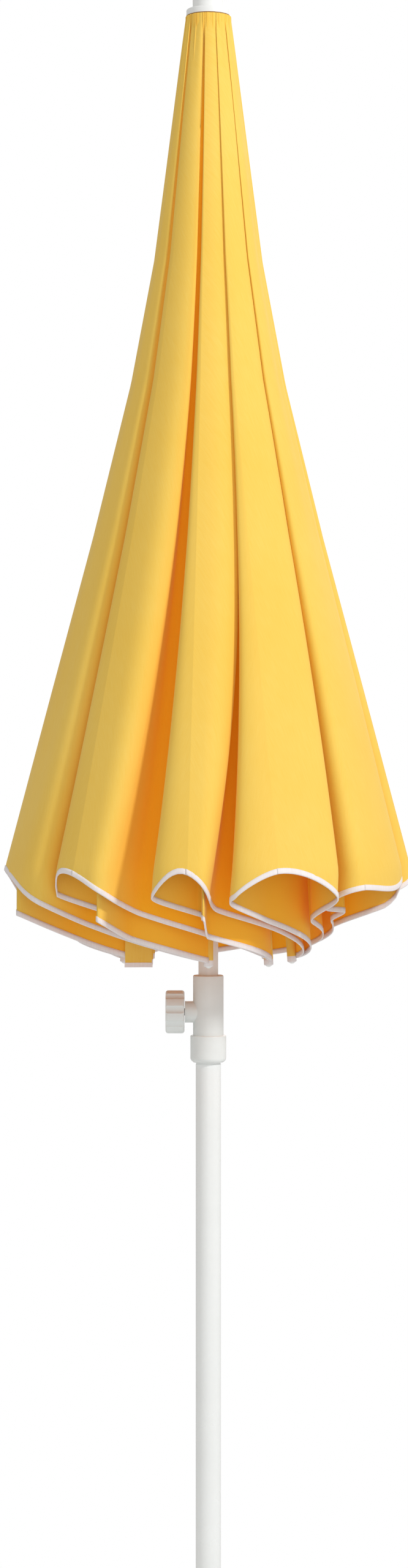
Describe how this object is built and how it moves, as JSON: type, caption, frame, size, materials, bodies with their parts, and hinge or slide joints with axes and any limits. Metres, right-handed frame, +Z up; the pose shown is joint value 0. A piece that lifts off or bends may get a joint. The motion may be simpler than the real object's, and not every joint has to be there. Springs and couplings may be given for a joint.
{
  "type": "beach parasol",
  "caption": "Folded beach parasol: a cloth canopy wrapped round its ribs on a two-part pole, with a height clamp, a side knob and a top cap.",
  "frame": {"origin": "centre of the foot of the lower pole, where its plug ends", "axes": "+Z up along the pole, -X towards the clamp knob, -Y towards the viewer of the reference view"},
  "size_m": [0.452, 0.4165, 2.185],
  "materials": {
    "pole_paint": "gloss powder coat",
    "clamp_plastic": "fine moulded texture",
    "cap_plastic": "smooth moulded",
    "hub_plastic": "moulded",
    "bush_plastic": "moulded",
    "zinc_steel": "zinc plated",
    "rib_steel": "painted",
    "canopy_cloth": "plain weave polyester, yellow",
    "patch_cloth": "plain weave polyester, yellow"
  },
  "bodies": {
    "base": {"lower_pole": "pole_paint", "foot_plug": "bush_plastic", "clamp_housing": "clamp_plastic", "clamp_nut": "zinc_steel"},
    "clamp_pad": {"clamp_pad": "bush_plastic"},
    "clamp_knob": {"clamp_knob": "clamp_plastic", "clamp_screw": "zinc_steel"},
    "guide": {"guide_bush": "bush_plastic"},
    "upper": {"upper_pole": "pole_paint", "pole_top_plug": "bush_plastic", "crown_hub": "hub_plastic", "crown_pins": "zinc_steel", "crown_patch": "patch_cloth", "cap_collar": "cap_plastic", "top_cap": "cap_plastic", "cap_stud": "zinc_steel"},
    "runner": {"runner": "hub_plastic", "runner_pins": "zinc_steel"},
    "latch": {"latch_plunger": "zinc_steel", "latch_spring": "zinc_steel"},
    "rib_1": {"rib_1": "rib_steel", "rib_tip_1": "cap_plastic"},
    "stretcher_1": {"stretcher_1": "rib_steel"},
    "rib_2": {"rib_2": "rib_steel", "rib_tip_2": "cap_plastic"},
    "stretcher_2": {"stretcher_2": "rib_steel"},
    "rib_3": {"rib_3": "rib_steel", "rib_tip_3": "cap_plastic"},
    "stretcher_3": {"stretcher_3": "rib_steel"},
    "rib_4": {"rib_4": "rib_steel", "rib_tip_4": "cap_plastic"},
    "stretcher_4": {"stretcher_4": "rib_steel"},
    "rib_5": {"rib_5": "rib_steel", "rib_tip_5": "cap_plastic"},
    "stretcher_5": {"stretcher_5": "rib_steel"},
    "rib_6": {"rib_6": "rib_steel", "rib_tip_6": "cap_plastic"},
    "stretcher_6": {"stretcher_6": "rib_steel"},
    "rib_7": {"rib_7": "rib_steel", "rib_tip_7": "cap_plastic"},
    "stretcher_7": {"stretcher_7": "rib_steel"},
    "rib_8": {"rib_8": "rib_steel", "rib_tip_8": "cap_plastic"},
    "stretcher_8": {"stretcher_8": "rib_steel"},
    "gore_1_inner": {"canopy_gore_1_inner": "canopy_cloth"},
    "gore_1_outer": {"canopy_gore_1_outer": "canopy_cloth"},
    "gore_2_inner": {"canopy_gore_2_inner": "canopy_cloth"},
    "gore_2_outer": {"canopy_gore_2_outer": "canopy_cloth"},
    "gore_3_inner": {"canopy_gore_3_inner": "canopy_cloth"},
    "gore_3_outer": {"canopy_gore_3_outer": "canopy_cloth"},
    "gore_4_inner": {"canopy_gore_4_inner": "canopy_cloth"},
    "gore_4_outer": {"canopy_gore_4_outer": "canopy_cloth"},
    "gore_5_inner": {"canopy_gore_5_inner": "canopy_cloth"},
    "gore_5_outer": {"canopy_gore_5_outer": "canopy_cloth"},
    "gore_6_inner": {"canopy_gore_6_inner": "canopy_cloth"},
    "gore_6_outer": {"canopy_gore_6_outer": "canopy_cloth"},
    "gore_7_inner": {"canopy_gore_7_inner": "canopy_cloth"},
    "gore_7_outer": {"canopy_gore_7_outer": "canopy_cloth"},
    "gore_8_inner": {"canopy_gore_8_inner": "canopy_cloth"},
    "gore_8_outer": {"canopy_gore_8_outer": "canopy_cloth"}
  },
  "joints": [
    {"name": "knob_turn", "type": "hinge", "parent": "clamp_pad", "child": "clamp_knob", "pos_m": [-0.0266, 0, 1.022], "axis": [-1, 0, 0], "range_deg": [0, 720]},
    {"name": "clamp_press", "type": "slide", "parent": "base", "child": "clamp_pad", "axis": [-1, 0, 0], "range_m": [0, 0.0025]},
    {"name": "height_slide", "type": "slide", "parent": "base", "child": "guide", "axis": [0, 0, 1], "range_m": [0, 0.34]},
    {"name": "pole_swivel", "type": "hinge", "parent": "guide", "child": "upper", "pos_m": [0, 0, 0.56], "axis": [0, 0, 1], "continuous": true},
    {"name": "canopy_open", "type": "hinge", "parent": "upper", "child": "rib_1", "pos_m": [0.017, 0, 2.118], "axis": [0, -1, 0], "range_deg": [0, 68]},
    {"name": "stretcher_1_swing", "type": "hinge", "parent": "rib_1", "child": "stretcher_1", "pos_m": [0.04922, 0, 1.67918], "axis": [0, -1, 0], "range_deg": [-136, 0]},
    {"name": "rib_2_open", "type": "hinge", "parent": "upper", "child": "rib_2", "pos_m": [0.01202, 0.01202, 2.118], "axis": [0.7071, -0.7071, 0], "range_deg": [0, 68]},
    {"name": "stretcher_2_swing", "type": "hinge", "parent": "rib_2", "child": "stretcher_2", "pos_m": [0.03481, 0.03481, 1.67918], "axis": [0.7071, -0.7071, 0], "range_deg": [-136, 0]},
    {"name": "rib_3_open", "type": "hinge", "parent": "upper", "child": "rib_3", "pos_m": [0, 0.017, 2.118], "axis": [1, 0, 0], "range_deg": [0, 68]},
    {"name": "stretcher_3_swing", "type": "hinge", "parent": "rib_3", "child": "stretcher_3", "pos_m": [0, 0.04922, 1.67918], "axis": [1, 0, 0], "range_deg": [-136, 0]},
    {"name": "rib_4_open", "type": "hinge", "parent": "upper", "child": "rib_4", "pos_m": [-0.01202, 0.01202, 2.118], "axis": [0.7071, 0.7071, 0], "range_deg": [0, 68]},
    {"name": "stretcher_4_swing", "type": "hinge", "parent": "rib_4", "child": "stretcher_4", "pos_m": [-0.03481, 0.03481, 1.67918], "axis": [0.7071, 0.7071, 0], "range_deg": [-136, 0]},
    {"name": "rib_5_open", "type": "hinge", "parent": "upper", "child": "rib_5", "pos_m": [-0.017, 0, 2.118], "axis": [0, 1, 0], "range_deg": [0, 68]},
    {"name": "stretcher_5_swing", "type": "hinge", "parent": "rib_5", "child": "stretcher_5", "pos_m": [-0.04922, 0, 1.67918], "axis": [0, 1, 0], "range_deg": [-136, 0]},
    {"name": "rib_6_open", "type": "hinge", "parent": "upper", "child": "rib_6", "pos_m": [-0.01202, -0.01202, 2.118], "axis": [-0.7071, 0.7071, 0], "range_deg": [0, 68]},
    {"name": "stretcher_6_swing", "type": "hinge", "parent": "rib_6", "child": "stretcher_6", "pos_m": [-0.03481, -0.03481, 1.67918], "axis": [-0.7071, 0.7071, 0], "range_deg": [-136, 0]},
    {"name": "rib_7_open", "type": "hinge", "parent": "upper", "child": "rib_7", "pos_m": [0, -0.017, 2.118], "axis": [-1, 0, 0], "range_deg": [0, 68]},
    {"name": "stretcher_7_swing", "type": "hinge", "parent": "rib_7", "child": "stretcher_7", "pos_m": [0, -0.04922, 1.67918], "axis": [-1, 0, 0], "range_deg": [-136, 0]},
    {"name": "rib_8_open", "type": "hinge", "parent": "upper", "child": "rib_8", "pos_m": [0.01202, -0.01202, 2.118], "axis": [-0.7071, -0.7071, 0], "range_deg": [0, 68]},
    {"name": "stretcher_8_swing", "type": "hinge", "parent": "rib_8", "child": "stretcher_8", "pos_m": [0.03481, -0.03481, 1.67918], "axis": [-0.7071, -0.7071, 0], "range_deg": [-136, 0]},
    {"name": "runner_level", "type": "hinge", "parent": "stretcher_1", "child": "runner", "pos_m": [0.017, 0, 1.24036], "axis": [0, -1, 0], "range_deg": [0, 68]},
    {"name": "latch_pull", "type": "slide", "parent": "runner", "child": "latch", "axis": [1, 0, 0], "range_m": [0, 0.004], "stiffness_N_per_m": 400, "springref_m": -0.003, "deforming": ["latch_spring"]},
    {"name": "gore_1_inner_unfold", "type": "hinge", "parent": "rib_1", "child": "gore_1_inner", "pos_m": [0.00429, 0.00085, 2.118], "axis": [0.4122, 0.1026, -0.9053], "range_deg": [0, 79.44], "deforming": ["canopy_gore_1_inner"]},
    {"name": "gore_1_outer_unfold", "type": "hinge", "parent": "rib_2", "child": "gore_1_outer", "pos_m": [0.00051, -0.00695, 2.118], "axis": [0.1322, -0.455, -0.8806], "range_deg": [0, 45.59], "deforming": ["canopy_gore_1_outer"]},
    {"name": "gore_2_inner_unfold", "type": "hinge", "parent": "rib_2", "child": "gore_2_inner", "pos_m": [0.00286, -0.00005, 2.118], "axis": [0.3124, 0.3899, -0.8663], "range_deg": [0, 66.22], "deforming": ["canopy_gore_2_inner"]},
    {"name": "gore_2_outer_unfold", "type": "hinge", "parent": "rib_3", "child": "gore_2_outer", "pos_m": [0.00823, -0.01564, 2.118], "axis": [0.5239, -0.3776, -0.7635], "range_deg": [0, 33.12], "deforming": ["canopy_gore_2_outer"]},
    {"name": "gore_3_inner_unfold", "type": "hinge", "parent": "rib_3", "child": "gore_3_inner", "pos_m": [0.00861, -0.00113, 2.118], "axis": [-0.0395, 0.6385, -0.7686], "range_deg": [0, 53.64], "deforming": ["canopy_gore_3_inner"]},
    {"name": "gore_3_outer_unfold", "type": "hinge", "parent": "rib_4", "child": "gore_3_outer", "pos_m": [0.06108, -0.02019, 2.118], "axis": [0.876, 0.0693, -0.4773], "range_deg": [0, 20.38], "deforming": ["canopy_gore_3_outer"]},
    {"name": "gore_4_inner_unfold", "type": "hinge", "parent": "rib_4", "child": "gore_4_inner", "pos_m": [-0.00162, -0.00149, 2.118], "axis": [-0.3348, 0.3666, 0.8681], "range_deg": [0, 59.09], "deforming": ["canopy_gore_4_inner"]},
    {"name": "gore_4_outer_unfold", "type": "hinge", "parent": "rib_5", "child": "gore_4_outer", "pos_m": [-0.00529, 0.00373, 2.118], "axis": [0.0587, -0.2066, 0.9767], "range_deg": [0, 78.52], "deforming": ["canopy_gore_4_outer"]},
    {"name": "gore_5_inner_unfold", "type": "hinge", "parent": "rib_5", "child": "gore_5_inner", "pos_m": [-0.00045, -0.00185, 2.118], "axis": [-0.5492, -0.0478, 0.8343], "range_deg": [0, 49.95], "deforming": ["canopy_gore_5_inner"]},
    {"name": "gore_5_outer_unfold", "type": "hinge", "parent": "rib_6", "child": "gore_5_outer", "pos_m": [-0.00751, -0.00141, 2.118], "axis": [0.2452, -0.1095, 0.9633], "range_deg": [0, 68.96], "deforming": ["canopy_gore_5_outer"]},
    {"name": "gore_6_inner_unfold", "type": "hinge", "parent": "rib_6", "child": "gore_6_inner", "pos_m": [0.00018, -0.00214, 2.118], "axis": [-0.3407, -0.5309, 0.776], "range_deg": [0, 41.2], "deforming": ["canopy_gore_6_inner"]},
    {"name": "gore_6_outer_unfold", "type": "hinge", "parent": "rib_7", "child": "gore_6_outer", "pos_m": [-0.00501, -0.00791, 2.118], "axis": [0.2995, 0.1479, 0.9426], "range_deg": [0, 59.67], "deforming": ["canopy_gore_6_outer"]},
    {"name": "gore_7_inner_unfold", "type": "hinge", "parent": "rib_7", "child": "gore_7_inner", "pos_m": [0.00067, 0.00301, 2.118], "axis": [0.1593, -0.7738, 0.6131], "range_deg": [0, 35.65], "deforming": ["canopy_gore_7_inner"]},
    {"name": "gore_7_outer_unfold", "type": "hinge", "parent": "rib_8", "child": "gore_7_outer", "pos_m": [0.00203, -0.00864, 2.118], "axis": [0.0689, 0.3172, 0.9458], "range_deg": [0, 49.65], "deforming": ["canopy_gore_7_outer"]},
    {"name": "gore_8_inner_unfold", "type": "hinge", "parent": "rib_8", "child": "gore_8_inner", "pos_m": [0.00542, -0.00234, 2.118], "axis": [0.3906, -0.1696, -0.9048], "range_deg": [0, 83.03], "deforming": ["canopy_gore_8_inner"]},
    {"name": "gore_8_outer_unfold", "type": "hinge", "parent": "rib_1", "child": "gore_8_outer", "pos_m": [-0.00129, -0.00435, 2.118], "axis": [-0.1638, -0.3425, -0.9251], "range_deg": [0, 48.17], "deforming": ["canopy_gore_8_outer"]}
  ],
  "couplings": [
    {"joint": "knob_turn", "follows": "clamp_press", "rad_per_m": 5026.5},
    {"joint": "stretcher_1_swing", "follows": "canopy_open", "ratio": -2},
    {"joint": "rib_2_open", "follows": "canopy_open", "ratio": 1},
    {"joint": "stretcher_2_swing", "follows": "canopy_open", "ratio": -2},
    {"joint": "rib_3_open", "follows": "canopy_open", "ratio": 1},
    {"joint": "stretcher_3_swing", "follows": "canopy_open", "ratio": -2},
    {"joint": "rib_4_open", "follows": "canopy_open", "ratio": 1},
    {"joint": "stretcher_4_swing", "follows": "canopy_open", "ratio": -2},
    {"joint": "rib_5_open", "follows": "canopy_open", "ratio": 1},
    {"joint": "stretcher_5_swing", "follows": "canopy_open", "ratio": -2},
    {"joint": "rib_6_open", "follows": "canopy_open", "ratio": 1},
    {"joint": "stretcher_6_swing", "follows": "canopy_open", "ratio": -2},
    {"joint": "rib_7_open", "follows": "canopy_open", "ratio": 1},
    {"joint": "stretcher_7_swing", "follows": "canopy_open", "ratio": -2},
    {"joint": "rib_8_open", "follows": "canopy_open", "ratio": 1},
    {"joint": "stretcher_8_swing", "follows": "canopy_open", "ratio": -2},
    {"joint": "runner_level", "follows": "canopy_open", "ratio": 1},
    {"joint": "gore_1_inner_unfold", "follows": "canopy_open", "ratio": 1.1683},
    {"joint": "gore_1_outer_unfold", "follows": "canopy_open", "ratio": 0.67047},
    {"joint": "gore_2_inner_unfold", "follows": "canopy_open", "ratio": 0.97384},
    {"joint": "gore_2_outer_unfold", "follows": "canopy_open", "ratio": 0.48709},
    {"joint": "gore_3_inner_unfold", "follows": "canopy_open", "ratio": 0.78878},
    {"joint": "gore_3_outer_unfold", "follows": "canopy_open", "ratio": 0.29967},
    {"joint": "gore_4_inner_unfold", "follows": "canopy_open", "ratio": 0.86896},
    {"joint": "gore_4_outer_unfold", "follows": "canopy_open", "ratio": 1.1546},
    {"joint": "gore_5_inner_unfold", "follows": "canopy_open", "ratio": 0.73456},
    {"joint": "gore_5_outer_unfold", "follows": "canopy_open", "ratio": 1.0141},
    {"joint": "gore_6_inner_unfold", "follows": "canopy_open", "ratio": 0.60592},
    {"joint": "gore_6_outer_unfold", "follows": "canopy_open", "ratio": 0.8775},
    {"joint": "gore_7_inner_unfold", "follows": "canopy_open", "ratio": 0.52419},
    {"joint": "gore_7_outer_unfold", "follows": "canopy_open", "ratio": 0.73018},
    {"joint": "gore_8_inner_unfold", "follows": "canopy_open", "ratio": 1.221},
    {"joint": "gore_8_outer_unfold", "follows": "canopy_open", "ratio": 0.70837}
  ]
}
